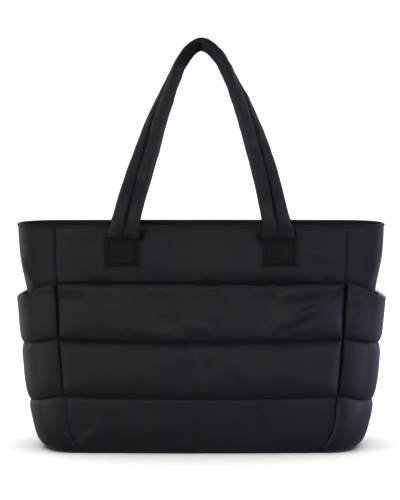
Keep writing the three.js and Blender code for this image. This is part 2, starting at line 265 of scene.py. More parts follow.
# Unevenness: a height or a share, and its bumps in a metre. A crinkle's share is of the height that is set.
STRAP_WANDER = 0.0011  # of the seam down a strap
STRAP_WANDER_BUMPS = 28
STRAP_PUCKER = 0.0010  # height of the puckers beside that seam
STRAP_PUCKER_BUMPS = 95
STRAP_WAVE = 0.022  # share by which a strap's width varies
STRAP_WAVE_BUMPS = 45
BAND_CRINKLE = (1.0, 34)
BAND_WAVE = (4.0, 13)
GUSSET_CRINKLE = (1.5, 24)
QUILT_CRINKLE = (2.0, 22)

TAB_WIDTH = 0.0425
TAB_BOTTOM = 0.2407
TAB_TOP = 0.2784
TAB_HEIGHT = TAB_TOP - TAB_BOTTOM
TAB_THICKNESS = 0.0018
TAB_GAP = 0.0005  # between a tab and its panel
TAB_PRESS = 0.0013  # how far the sewing presses that panel in
TAB_PRESS_HALF_WIDTH = 0.0020
TAB_SPREAD = 0.100
REAR_TAB_SPREAD = TAB_SPREAD * (1 + STRAP_STATIONS[0].forward / REAR_SPLAY)
TAB_STITCH_INSET = 0.0032
TAB_PUFF = 0.0005  # of a tab between its rows of stitches
TAB_PUFF_REACH = 0.006
TAB_BORDER_SINK = 0.0010
TAB_CROSS_SINK = 0.0003
TAB_ROW_HALF_WIDTH = 0.0009
TAB_CROSS_COSINE = 0.75  # of the angle at which the cross's rows rise
TAB_EDGE_DROP = 0.8 * TAB_THICKNESS
TAB_EDGE_ROLL = 0.0014

FRONT_ROW_END = 0.985  # the rows of stitches end just short of the seams
SIDE_ROW_START = 0.03
RIM_ROW_DROP = 0.62 * BINDING_HEIGHT
STITCH_SINK = 0.0002  # of the stitches into a tab
STITCH_START = 0.15  # share of its room at which a stitch starts

# Cells of the meshes
PANEL_CELLS = (200, 120)
QUILT_COLUMNS = 132
CHANNEL_ROWS = 28
BAND_ROWS = 26
GUSSET_CELLS = (56, 64)
STRAP_CELLS = (64, 200)
TAB_CELLS = (84, 76)
LAP_CELLS = 240
BINDING_SIDES = 16
ROW_CROWDING = 0.45  # above 0 a channel's rows are closer together near its seams
PANEL_ROW_POWER = 0.6  # below 1 a wall's rows are closer together near its head
GUSSET_ROW_POWER = 0.7
SHARP_ANGLE = math.radians(50)
ROW_POINTS = 120  # of a row of stitches
TOUCH = 1e-6  # what is closer than this lies in one place

# Finishes
TONE_STOPS = (0.3, 0.7)  # of the noise that sets a cloth's darker and lighter patches
TONE_SHARES = (0.86, 1.14)  # of the cloth's colour in those patches
ROUGHNESS_RANGE = 0.06

# Stage
COOL_WHITE = (0.915, 0.96, 1.0)
PALE_BLUE = (0.68, 0.72, 1.0)
SKY_STRENGTHS = (0.35, 1.0, 0.45)  # shares of the ambient light from below, level and above
WHITE_STRENGTH = 1.1  # of the sky as the camera sees it
SUN_ANGLE = math.radians(100)
FLOOR_HALF_SIZE = 30


class Softbox(NamedTuple):
    """A rectangular light."""

    name: str
    place: tuple
    size: tuple
    power: str  # the setting that holds its power
    share: float  # of that power
    tint: tuple
    spread: float  # degrees
    aim: float = 0.32  # height over the origin of the point that it looks at


SOFTBOXES = (
    Softbox("key_light", (-0.2, -2.6, 0.45), (1.6, 0.25), "key", 1, COOL_WHITE, 20),
    Softbox("back_light", (0.2, 2.6, 0.45), (1.6, 0.25), "key", 1, COOL_WHITE, 20),
    Softbox("left_rim_light", (-1.5, 1.4, 0.4), (0.9, 1.4), "rims", 1, COOL_WHITE, 180),
    Softbox("left_side_light", (-1.6, -1.4, 0.25), (0.7, 1.4), "sides", 0.58, COOL_WHITE, 180),
    Softbox("left_fill_light", (-2.4, -0.3, 0.1), (1.2, 0.25), "fills", 0.9, COOL_WHITE, 9, 0.02),
    Softbox("left_strap_light", (-2.4, -0.1, 0.42), (0.8, 0.14), "straps", 1, COOL_WHITE, 7, 0.42),
    Softbox("right_rim_light", (1.5, 1.4, 0.4), (0.9, 1.4), "rims", 1, PALE_BLUE, 180),
    Softbox("right_side_light", (1.6, -1.4, 0.25), (0.7, 1.4), "sides", 0.94, PALE_BLUE, 180),
    Softbox("right_fill_light", (2.4, -0.3, 0.1), (1.2, 0.25), "fills", 1.9, PALE_BLUE, 9, 0.02),
    Softbox("right_strap_light", (2.4, -0.1, 0.42), (0.8, 0.14), "straps", 1, COOL_WHITE, 7, 0.42),
)


class BagSizes(bpy.types.PropertyGroup):
    """Sizes of the sewing that a user might change."""

    stitch_length: FloatProperty(
        name="Stitch length", description="Length of one stitch that shows", default=0.0027, unit="LENGTH"
    )
    stitch_gap: FloatProperty(
        name="Stitch gap", description="Gap between two stitches of a row", default=0.0012, unit="LENGTH"
    )
    thread: FloatProperty(
        name="Thread", description="Thickness of the sewing thread", default=0.0006, unit="LENGTH"
    )
    crinkle: FloatProperty(
        name="Crinkle", description="Height of the cloth's small unevenness", default=0.0004, unit="LENGTH"
    )


class BagWadding(bpy.types.PropertyGroup):
    """How the wadding blows the quilted layers up."""

    pressure: FloatProperty(name="Pressure", description="How hard the wadding pushes out", default=2.0)
    slack: FloatProperty(
        name="Slack", description="Share by which the cloth is longer than its seams", default=0.009
    )
    reach: FloatProperty(
        name="Reach", description="Furthest that the wadding moves the cloth", default=0.004, unit="LENGTH"
    )
    steps: IntProperty(name="Steps", description="Steps of the cloth simulation", default=24)


class BagFinish(bpy.types.PropertyGroup):
    """Colours of the cloth and the thread."""

    shell: FloatVectorProperty(
        name="Shell", description="Nylon of the walls", default=(0.0092, 0.0098, 0.0130), subtype="COLOR"
    )
    quilt: FloatVectorProperty(
        name="Quilt", description="The padded layers' nylon", default=(0.0115, 0.012, 0.0155), subtype="COLOR"
    )
    strap: FloatVectorProperty(
        name="Strap", description="Nylon of the handles", default=(0.0150, 0.0156, 0.0190), subtype="COLOR"
    )
    tab: FloatVectorProperty(
        name="Tab", description="Nylon of the sewn tabs", default=(0.0066, 0.0071, 0.0095), subtype="COLOR"
    )
    # Lighter than the outer nylon: painted light that stands in for light in the dim inside of the bag
    lining: FloatVectorProperty(
        name="Lining", description="Cloth of the inner faces", default=(0.026, 0.027, 0.03), subtype="COLOR"
    )
    thread: FloatVectorProperty(
        name="Thread", description="Sewing thread", default=(0.0045, 0.0048, 0.0060), subtype="COLOR"
    )
    floor: FloatVectorProperty(
        name="Floor", description="Studio floor", default=(0.92, 0.92, 0.92), subtype="COLOR"
    )


class BagStage(bpy.types.PropertyGroup):
    """Where the camera stands, and how bright the lights are."""

    camera_place: FloatVectorProperty(
        name="Camera", description="Where the camera stands", default=(-0.0013, -2.3948, 0.428), subtype="XYZ"
    )
    camera_pitch: FloatProperty(
        name="Pitch", description="How far down it looks", default=math.radians(4.08), subtype="ANGLE"
    )
    lens: FloatProperty(name="Lens", description="Focal length in millimetres", default=132.0)
    ambient: FloatProperty(name="Ambient", description="Light from above and all round", default=0.29)
    floor_light: FloatProperty(name="Floor light", description="Light on the floor alone", default=4.3)
    key: FloatProperty(name="Key", description="Power of the light in front", default=0.50, unit="POWER")
    rims: FloatProperty(
        name="Rims", description="Power of each light behind the sides", default=5.6, unit="POWER"
    )
    sides: FloatProperty(
        name="Sides", description="Power of each light beside the front", default=12.5, unit="POWER"
    )
    fills: FloatProperty(
        name="Fills", description="Power of each low light at the sides", default=0.26, unit="POWER"
    )
    straps: FloatProperty(
        name="Straps", description="Power of each light beside the handles", default=0.15, unit="POWER"
    )


class BagSettings(bpy.types.PropertyGroup):
    """All that a user might change."""

    sizes: PointerProperty(type=BagSizes)
    wadding: PointerProperty(type=BagWadding)
    finish: PointerProperty(type=BagFinish)
    stage: PointerProperty(type=BagStage)


def settings():
    """What a user might change, as it is set now."""
    return bpy.context.scene.tote_bag


# Curves and small formulas


def curve_through(knots, values, at):
    """Points of a smooth curve through values, which belong to rising knots."""
    knots = np.asarray(knots, float)
    values = np.asarray(values, float)
    slopes = np.gradient(values, knots, axis=0)
    at = np.clip(at, knots[0], knots[-1])
    i = np.clip(np.searchsorted(knots, at, side="right") - 1, 0, len(knots) - 2)
    span = (knots[i + 1] - knots[i])[:, None]
    t = (at - knots[i])[:, None] / span
    start = values[i] * (1 + 2 * t) + slopes[i] * span * t
    end = values[i + 1] * (3 - 2 * t) + slopes[i + 1] * span * (t - 1)
    return start * (1 - t) ** 2 + end * t**2


def between(low, high, share):
    """The value a share of the way from low to high."""
    return low + (high - low) * share


def eased(value, low, high):
    """0 below low, 1 above high and a smooth step between them."""
    t = np.clip((value - low) / (high - low), 0, 1)
    return t * t * (3 - 2 * t)


def rounded(value, power):
    """A value from -1 to 1 raised to a power, with its sign kept."""
    return np.sign(value) * np.abs(value) ** power


def section_at(height):
    """Half width, half width at the seams and half depth of the walls at each height."""
    rows = np.array(SECTIONS)
    return curve_through(rows[:, 0], rows[:, 1:], np.ravel(height)).T


def fold_rise(folds, x, height):
    """How far the folds raise or crease the cloth at each place."""
    total = np.zeros_like(x)
    for fold in folds:
        angle = math.radians(fold.angle)
        along = (x - fold.x) * math.cos(angle) + (height - fold.height) * math.sin(angle)
        beside = (height - fold.height) * math.cos(angle) - (x - fold.x) * math.sin(angle)
        total += fold.rise * np.exp(-((beside / fold.width) ** 2) - (2 * along / fold.length) ** 4)
    return total


def unevenness(points, bumps, seed):
    """Smooth noise from -1 to 1 at each point, with so many bumps in a metre."""
    shift = Vector((seed, 2.7 * seed, -seed))
    return np.array([noise.noise(Vector(point) * bumps + shift) for point in points])


def crinkle(points, share, bumps, seed):
    """Small unevenness of the cloth at each point, as a share of the height that is set."""
    return share * settings().sizes.crinkle * unevenness(points, bumps, seed)


def arc_lengths(points):
    """How far along a line each of its points lies."""
    return np.concatenate(((0,), np.cumsum(np.linalg.norm(np.diff(points, axis=0), axis=1))))


# Faces of the bag


def front_points(across, height, out):
    """Points of the front wall, out in front of it. across runs from -1 to 1 between its seams."""
    _, seam_half_width, half_depth = section_at(height)
    bow = PANEL_BOW * (1 - across**2)
    x = across * seam_half_width
    return np.stack((x, -(half_depth + bow + out), height), axis=-1)


def gusset_points(u, height, out):
    """Points of the right gusset, out beyond it. u runs from 0 at its front seam to 1 at its back one."""
    half_width, seam_half_width, half_depth = section_at(height)
    angle = (u - 0.5) * math.pi
    sideways = np.maximum(0, np.cos(angle)) ** GUSSET_FULLNESS
    x = seam_half_width + (half_width - seam_half_width + out) * sideways
    y = (half_depth + out) * rounded(np.sin(angle), GUSSET_FULLNESS)
    return np.stack((x, y, height), axis=-1)


def unturned(points):
    """Points that stay on the front or the right side of the bag."""
    return points


def half_turn(points):
    """The same points on the other side of the bag."""
    return points * (-1, -1, 1)


def in_place(points):
    """Points measured from the bag's middle, moved to where the bag stands."""
    return points + (0, MIDDLE_Y, 0)


def across_at(u):
    """From -1 at a panel's left seam to 1 at its right one, with the cells closer together near the seams."""
    return between(2 * u - 1, np.sin((u - 0.5) * math.pi), 0.5)


def outline_points(lap, height, out):
    """Points of the whole outline. lap runs from 0 to 4: front, right gusset, back, left gusset."""
    wall = np.floor(lap).astype(int) % 4
    u = lap - np.floor(lap)
    straight = front_points(across_at(u), height, out)
    curved = gusset_points(u, height, out)
    points = np.where((wall % 2 == 0)[:, None], straight, curved)
    return np.where((wall < 2)[:, None], points, half_turn(points))


def front_dip(across):
    """From 0 at a panel's seams to 1 half way between them, where its quilting lines hang lowest."""
    return 1 - across**2


def side_dip(u):
    """From 0 at a gusset's seams to 1 in its middle, where the lines of its pocket hang lowest."""
    return np.maximum(0, np.cos((u - 0.5) * math.pi)) ** SIDE_DIP_SHARPNESS


def band_swell(across, height):
    """How far the wadding swells the plain band above the pockets."""
    share = np.clip((height - BAND_FOOT) / (RIM_HEIGHT - BINDING_HEIGHT - BAND_FOOT), 0, 1)
    return BAND_SWELL * np.sin(math.pi * share) * (1 - across**4)


def tab_press(x, height):
    """How far the sewing of the front tabs presses the wall in along their outlines."""
    beside = np.abs(np.abs(x) - TAB_SPREAD) - TAB_WIDTH / 2
    above = np.abs(height - (TAB_BOTTOM + TAB_TOP) / 2) - TAB_HEIGHT / 2
    to_outline = np.abs(np.maximum(beside, above))
    return TAB_PRESS * np.exp(-((to_outline / TAB_PRESS_HALF_WIDTH) ** 2))


def tab_points(middle, u, v, out):
    """Points of a tab, out from the face of the panel that it is sewn to."""
    height = between(TAB_BOTTOM, TAB_TOP, v)
    x = middle + (u - 0.5) * TAB_WIDTH
    across = x / section_at(height)[1]
    return front_points(across, height, band_swell(across, height) + TAB_GAP + out)


def tab_relief(u, v):
    """How the stitching shapes a tab: sunk along its rows, puffed between them, rounded at its edge."""
    x = u * TAB_WIDTH
    z = v * TAB_HEIGHT
    to_edge = np.minimum(np.minimum(x, TAB_WIDTH - x), np.minimum(z, TAB_HEIGHT - z))
    to_border = np.abs(to_edge - TAB_STITCH_INSET)
    slope = TAB_HEIGHT / TAB_WIDTH
    above_cross = np.minimum(np.abs(z - slope * x), np.abs(z - slope * (TAB_WIDTH - x)))
    to_cross = above_cross * TAB_CROSS_COSINE
    inside = to_edge > TAB_STITCH_INSET
    to_row = np.where(inside, np.minimum(to_border, to_cross), to_border)
    puff = TAB_PUFF * eased(to_row, 0, TAB_PUFF_REACH)
    border = TAB_BORDER_SINK * np.exp(-((to_border / TAB_ROW_HALF_WIDTH) ** 2))
    cross = TAB_CROSS_SINK * np.exp(-((to_cross / TAB_ROW_HALF_WIDTH) ** 2)) * inside
    edge = TAB_EDGE_DROP * (1 - seam_roll(to_edge, TAB_EDGE_ROLL))
    return puff - border - cross - edge


TABS = (
    ("front_left_tab", -TAB_SPREAD, unturned),
    ("front_right_tab", TAB_SPREAD, unturned),
    ("back_right_tab", -REAR_TAB_SPREAD, half_turn),
    ("back_left_tab", REAR_TAB_SPREAD, half_turn),
)


def tuck(above):
    """How far a wall draws back just above a pocket's open edge."""
    return TUCK_DEPTH * np.exp(-((above / TUCK_HALF_HEIGHT) ** 2))


def channel_swell(share, is_open, power=CHANNEL_POWER):
    """A channel's swell from 0 at its seams to 1. A channel with an open edge stays full up to it."""
    shifted = share**CREST_SHIFT
    half = np.where(is_open, np.minimum(shifted, 0.5), shifted)
    return np.maximum(0, 1 - np.abs(2 * half - 1) ** power) ** (1 / CHANNEL_ROOT)


def seam_roll(distance, roll, power=2):
    """The swell near a seam, from 0 on it to 1 further than roll from it."""
    return (1 - (1 - np.clip(distance / roll, 0, 1)) ** power) ** (1 / power)


def quilt_rows(lines, v, dip):
    """Where rows of a quilted layer lie: their share of their channel, which channel, and their height."""
    channels = len(lines) - 1
    channel = np.minimum(channels - 1, np.floor(v * channels + TOUCH)).astype(int)
    even = np.clip(v * channels - channel, 0, 1)
    share = between(even, 0.5 - 0.5 * np.cos(math.pi * even), ROW_CROWDING)
    ends = np.array(lines)
    low = between(ends[channel, 0], ends[channel, 1], dip)
    high = between(ends[channel + 1, 0], ends[channel + 1, 1], dip)
    return share, channel, between(low, high, share)


def pocket_room(quilt, v, fullness):
    """How deep a pocket's room is: none along its sewn edges, all of it at the open edge."""
    return POCKET_SEAM_GAP + quilt.slack * eased(v, 0, ROOM_FOOT) * fullness


def below_open_edge(lines, share, channel):
    """Which rows lie in a pocket's open channel, and how far below its edge. Others count as 1 m below."""
    is_open = channel == len(lines) - 2
    return is_open, np.where(is_open, (1 - share) * (lines[-1].middle - lines[-2].middle), 1)


def is_sewn(u, share):
    """Which vertices of a quilted layer lie on a quilting line or a vertical seam."""
    on_line = (share < TOUCH) | (share > 1 - TOUCH)
    return on_line | (u < TOUCH) | (u > 1 - TOUCH)


def line_sink(height, across):
    """How far the cloth of the front draws in at its quilting lines."""
    sunk = np.zeros_like(height)
    for depth, line in zip(LINE_SINKS, FRONT_LINES[1:-1]):
        to_line = height - line.height(front_dip(across))
        sunk += depth * np.exp(-np.abs(to_line) / LINE_SINK_REACH)
    return sunk


def seam_fill(fill, v):
    """How full a pocket is right at its vertical seams: less and less towards its open edge."""
    return fill * np.sqrt(1 - v)


def lip_gape(x):
    """From 0 where the front pocket's open edge lies close to the wall to 1 where it gapes."""
    return sum(np.exp(-(((x - gape) / GAPE_HALF_LENGTH) ** 4)) for gape in LIP_GAPES)


# Meshes


def cell_grid(columns, rows, size):
    """A flat grid of cells with a UV map in metres, and the u and v of its vertices from 0 to 1."""
    bm = bmesh.new()
    bmesh.ops.create_grid(bm, x_segments=columns, y_segments=rows, size=0.5)
    cloth = bm.loops.layers.uv.new("cloth")
    for face in bm.faces:
        for loop in face.loops:
            corner = loop.vert.co
            loop[cloth].uv = ((corner.x + 0.5) * size[0], (corner.y + 0.5) * size[1])
    corners = np.array([vert.co for vert in bm.verts]) + 0.5
    return bm, corners[:, 0], corners[:, 1]


def bend(verts, points):
    """Moves vertices to points."""
    for vert, point in zip(verts, points):
        vert.co = point


def blow_up(bm, v, pinned, creasing=1.0):
    """Lets the wadding crease a sewn layer between its pinned seams, by cloth simulation.

    Each row of the layer, at one v, keeps its mean place, so the channels keep their sewn profile, and
    creasing is the share of the other moves that stays.
    """
    wadding = settings().wadding
    scene = bpy.context.scene
    mesh = bpy.data.meshes.new("layer")
    bm.to_mesh(mesh)
    layer = bpy.data.objects.new("layer", mesh)
    scene.collection.objects.link(layer)
    sewn = layer.vertex_groups.new(name="sewn")
    sewn.add([int(i) for i in np.flatnonzero(pinned)], 1.0, "REPLACE")
    modifier = layer.modifiers.new("Wadding", "CLOTH")
    cloth = modifier.settings
    cloth.vertex_group_mass = sewn.name
    cloth.mass = 0.05
    cloth.quality = 5
    cloth.bending_stiffness = 4.0
    cloth.shrink_min = -wadding.slack
    cloth.use_pressure = True
    cloth.uniform_pressure_force = wadding.pressure
    cloth.effector_weights.gravity = 0
    modifier.collision_settings.use_collision = False
    modifier.point_cache.frame_start = 1
    modifier.point_cache.frame_end = wadding.steps
    for step in range(1, wadding.steps + 1):
        scene.frame_set(step)
    settled = layer.evaluated_get(bpy.context.evaluated_depsgraph_get()).data
    start = np.array([vert.co for vert in bm.verts])
    end = np.empty(start.size, np.float32)
    settled.vertices.foreach_get("co", end)
    move = end.reshape(-1, 3) - start
    _, row = np.unique(v.round(6), return_inverse=True)
    means = np.stack([np.bincount(row, axis) / np.bincount(row) for axis in move.T], axis=-1)
    move = (move - means[row] * ~pinned[:, None]) * np.reshape(creasing, (-1, 1))
    length = np.linalg.norm(move, axis=1, keepdims=True)
    move *= np.minimum(1, wadding.reach / np.maximum(length, 1e-9))
    bend(bm.verts, start + move)
    bpy.data.objects.remove(layer)
    bpy.data.meshes.remove(mesh)
    scene.frame_set(1)


def close_layer(bm, inner):
    """Gives a bent layer its inner face, at the points in inner. That face takes the second material."""
    sheet, lining = bm.verts[:], bm.faces[:]
    bmesh.ops.extrude_face_region(bm, geom=lining, use_keep_orig=True)
    for face in lining:
        face.material_index = 1
    bend(sheet, inner)
    bmesh.ops.recalc_face_normals(bm, faces=bm.faces[:])


def weld(bm):
    """Joins edges that lie on each other and turns the faces outwards."""
    bmesh.ops.remove_doubles(bm, verts=bm.verts[:], dist=TOUCH)
    bmesh.ops.recalc_face_normals(bm, faces=bm.faces[:])


def add_piece(name, bm, material, nodes=()):
    """Makes an object of a finished bmesh, which rides on the bag and stands for its solids."""
    mesh = bpy.data.meshes.new(name)
    bm.to_mesh(mesh)
    bm.free()
    mesh.polygons.foreach_set("use_smooth", [True] * len(mesh.polygons))
    mesh.set_sharp_from_angle(angle=SHARP_ANGLE)
    mesh.materials.append(material)
    mesh.materials.append(lining_cloth_with_painted_light())
    piece = bpy.data.objects.new(name, mesh)
    bpy.context.scene.collection.objects.link(piece)
    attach(piece, "root")
    if nodes:
        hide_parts(*nodes)
    return piece


# Materials


def add_node(tree, kind, **values):
    """A new node with some inputs set. An underscore stands for a space in an input's name."""
    node = tree.nodes.new(kind)
    for name, value in values.items():
        node.inputs[name.replace("_", " ")].default_value = value
    return node


def nylon(name, colour, roughness, sheen, gloss_level, crinkle_height=0.0008):
    """Black nylon: a fine weave along the cloth's own UV map, small crinkles and a soft satin sheen."""
    made = bpy.data.materials.get(name)
    if made:
        return made
    material = bpy.data.materials.new(name)
    material.use_nodes = True
    tree = material.node_tree
    shader = tree.nodes["Principled BSDF"]
    shader.inputs["Specular IOR Level"].default_value = gloss_level
    shader.inputs["Sheen Weight"].default_value = sheen
    shader.inputs["Sheen Roughness"].default_value = 0.4

    place = add_node(tree, "ShaderNodeTexCoord")
    patches = add_node(tree, "ShaderNodeTexNoise", Scale=14, Detail=4)
    tree.links.new(place.outputs["Object"], patches.inputs["Vector"])
    tone = add_node(tree, "ShaderNodeValToRGB")
    for stop, position, share in zip(tone.color_ramp.elements, TONE_STOPS, TONE_SHARES):
        stop.position = position
        stop.color = (*(share * part for part in colour), 1)
    tree.links.new(patches.outputs["Fac"], tone.inputs["Fac"])
    tree.links.new(tone.outputs["Color"], shader.inputs["Base Color"])
    gloss = add_node(
        tree, "ShaderNodeMapRange", To_Min=roughness - ROUGHNESS_RANGE, To_Max=roughness + ROUGHNESS_RANGE
    )
    tree.links.new(patches.outputs["Fac"], gloss.inputs["Value"])
    tree.links.new(gloss.outputs["Result"], shader.inputs["Roughness"])

    crinkles = add_node(tree, "ShaderNodeTexNoise", Scale=70, Detail=3)
    tree.links.new(place.outputs["Object"], crinkles.inputs["Vector"])
    soft = add_node(tree, "ShaderNodeBump", Strength=0.35, Distance=crinkle_height)
    tree.links.new(crinkles.outputs["Fac"], soft.inputs["Height"])

    height = add_node(tree, "ShaderNodeMath")
    height.operation = "ADD"
    for socket, direction in enumerate("XY"):
        threads = add_node(tree, "ShaderNodeTexWave", Scale=520)
        threads.bands_direction = direction
        tree.links.new(place.outputs["UV"], threads.inputs["Vector"])
        tree.links.new(threads.outputs["Fac"], height.inputs[socket])
    weave = add_node(tree, "ShaderNodeBump", Strength=0.12, Distance=0.0001)
    tree.links.new(height.outputs["Value"], weave.inputs["Height"])
    tree.links.new(soft.outputs["Normal"], weave.inputs["Normal"])
    tree.links.new(weave.outputs["Normal"], shader.inputs["Normal"])
    return material


def shell_nylon():
    """Nylon of the walls, the base and the binding."""
    return nylon("shell_cloth", settings().finish.shell, roughness=0.60, sheen=0.05, gloss_level=0.34)


def quilted_nylon():
    """Nylon of the padded layers, a little smoother."""
    return nylon("quilted_cloth", settings().finish.quilt, roughness=0.55, sheen=0.05, gloss_level=0.33)


def strap_nylon():
    """Nylon of the handles, with deeper crinkles."""
    colour = settings().finish.strap
    return nylon("strap_cloth", colour, roughness=0.60, sheen=0.05, gloss_level=0.35, crinkle_height=0.0060)


def tab_nylon():
    """Nylon of the sewn tabs, nearly matt."""
    return nylon("tab_cloth", settings().finish.tab, roughness=0.75, sheen=0.05, gloss_level=0.25)


def lining_cloth_with_painted_light():
    """Plain cloth of the inner faces, lighter than the outer nylon as painted light for the dim inside of the
    bag.
    """
    return nylon("lining_cloth_with_painted_light", settings().finish.lining, roughness=0.75, sheen=0.0, gloss_level=0.2)


def sewing_thread():
    """Thread of the stitches."""
    return nylon("sewing_thread", settings().finish.thread, roughness=0.70, sheen=0.0, gloss_level=0.2)


# Operators


class MakeStage(bpy.types.Operator):
    """Lays the floor and sets the lights and the camera"""

    bl_idname = "tote.stage"
    bl_label = "Stage"

    def execute(self, context):
        stage = settings().stage
        floor = self.floor(settings().finish.floor)
        self.sky(context.scene, stage.ambient)
        self.sun(stage.floor_light, self.linked("lit_by_floor_light", floor, "INCLUDE"))
        self.linked("lit_by_softboxes", floor, "EXCLUDE")
        for box in SOFTBOXES:
            self.softbox(box, getattr(stage, box.power) * box.share)
        self.camera(context.scene, stage)
        context.scene.view_settings.view_transform = "Standard"
        return {"FINISHED"}

    def floor(self, colour):
        """A plain matt floor, which throws no light back on the bag."""
        bm = bmesh.new()
        bmesh.ops.create_grid(bm, x_segments=8, y_segments=8, size=FLOOR_HALF_SIZE)
        mesh = bpy.data.meshes.new("studio_floor")
        bm.to_mesh(mesh)
        bm.free()
        floor = bpy.data.objects.new("studio_floor", mesh)
        bpy.context.scene.collection.objects.link(floor)
        material = bpy.data.materials.new("studio_floor")
        material.use_nodes = True
        shader = material.node_tree.nodes["Principled BSDF"]
        shader.inputs["Base Color"].default_value = (*colour, 1)
        shader.inputs["Roughness"].default_value = 0.9
        shader.inputs["Specular IOR Level"].default_value = 0.0
        mesh.materials.append(material)
        floor.visible_diffuse = False
        floor.visible_glossy = False
        return floor

    def sky(self, scene, ambient):
        """White where the camera sees it, and a dim light from all round."""
        world = bpy.data.worlds.new("studio")
        world.use_nodes = True
        tree = world.node_tree
        dim = tree.nodes["Background"]
        dim.inputs["Color"].default_value = (*COOL_WHITE, 1)
        place = add_node(tree, "ShaderNodeTexCoord")
        upward = add_node(tree, "ShaderNodeSeparateXYZ")
        tree.links.new(place.outputs["Generated"], upward.inputs["Vector"])
        share = add_node(tree, "ShaderNodeMapRange", From_Min=-1)
        tree.links.new(upward.outputs["Z"], share.inputs["Value"])
        fall = add_node(tree, "ShaderNodeValToRGB")
        fall.color_ramp.elements.new(0.5)
        for stop, strength in zip(fall.color_ramp.elements, SKY_STRENGTHS):
            stop.color = (*(strength * ambient for _ in range(3)), 1)
        tree.links.new(share.outputs["Result"], fall.inputs["Fac"])
        tree.links.new(fall.outputs["Color"], dim.inputs["Strength"])
        white = add_node(tree, "ShaderNodeBackground", Color=(1, 1, 1, 1), Strength=WHITE_STRENGTH)
        seen = add_node(tree, "ShaderNodeLightPath")
        mix = add_node(tree, "ShaderNodeMixShader")
        tree.links.new(seen.outputs["Is Camera Ray"], mix.inputs["Fac"])
        tree.links.new(dim.outputs["Background"], mix.inputs[1])
        tree.links.new(white.outputs["Background"], mix.inputs[2])
        tree.links.new(mix.outputs["Shader"], tree.nodes["World Output"].inputs["Surface"])
        scene.world = world

    def linked(self, name, floor, state):
        """A collection for lamps that light the floor alone, or all but the floor."""
        lit = bpy.data.collections.new(name)
        lit.objects.link(floor)
        lit.collection_objects[0].light_linking.link_state = state
        return lit

    def sun(self, strength, lit):
        """A broad light from above."""
        lamp = bpy.data.lights.new("floor_light", "SUN")
        lamp.energy = strength
        lamp.angle = SUN_ANGLE
        light = bpy.data.objects.new("floor_light", lamp)
        light.light_linking.receiver_collection = lit
        bpy.context.scene.collection.objects.link(light)

    def softbox(self, box, power):
        """A rectangular light on all but the floor."""
        lamp = bpy.data.lights.new(box.name, "AREA")
        lamp.spread = math.radians(box.spread)
        lamp.shape = "RECTANGLE"
        lamp.size, lamp.size_y = box.size
        lamp.energy = power
        lamp.color = box.tint
        light = bpy.data.objects.new(box.name, lamp)
        light.location = box.place
        light.visible_camera = False
        light.light_linking.receiver_collection = bpy.data.collections["lit_by_softboxes"]
        aim = Vector((0, 0, box.aim)) - Vector(box.place)
        light.rotation_euler = aim.to_track_quat("-Z", "Y").to_euler()
        bpy.context.scene.collection.objects.link(light)

    def camera(self, scene, stage):
        """A long lens in front of the bag, which looks a little down."""
        data = bpy.data.cameras.new("photo_camera")
        data.sensor_width = 36
        data.lens = stage.lens
        camera = bpy.data.objects.new("photo_camera", data)
        camera.location = stage.camera_place
        camera.rotation_euler = (math.radians(90) - stage.camera_pitch, 0, 0)
        scene.collection.objects.link(camera)
        scene.camera = camera


class MakeFrontPanel(bpy.types.Operator):
    """Makes the front wall, whose band above the pocket shows"""

    bl_idname = "tote.front_panel"
    bl_label = "Front panel"

    def execute(self, context):
        bm, u, v = cell_grid(*PANEL_CELLS, FRONT_FLAT)
        across = across_at(u)
        height = between(WALL_FOOT, WALL_HEAD, v**PANEL_ROW_POWER)
        swell = band_swell(across, height) - tuck(height - BAND_FOOT)
        x = across * section_at(height)[1]
        from_seam = 1 - np.abs(across)
        free = np.clip(from_seam / SEAM_STIFF_SHARE, 0, 1) * eased(WALL_HEAD - height, 0, HEAD_STIFF_HEIGHT)
        flat = front_points(across, height, swell)
        uneven = crinkle(flat, *BAND_CRINKLE, seed=1) + crinkle(flat, *BAND_WAVE, seed=2)
        rise = (fold_rise(BAND_FOLDS, x, height) + uneven) * free - tab_press(x, height)
        edge = SEAM_DEPTH * (1 - seam_roll(from_seam * FRONT_FLAT[0] / 2, SEAM_HALF_WIDTH))
        outer = swell + rise - edge
        inner = np.minimum(swell - WALL, outer - PRESSED_WALL)
        bend(bm.verts, in_place(front_points(across, height, outer)))
        close_layer(bm, in_place(front_points(across, height, inner)))
        panel = add_piece("front_panel_nylon", bm, shell_nylon(), ("front_panel",))
        return {"FINISHED"}


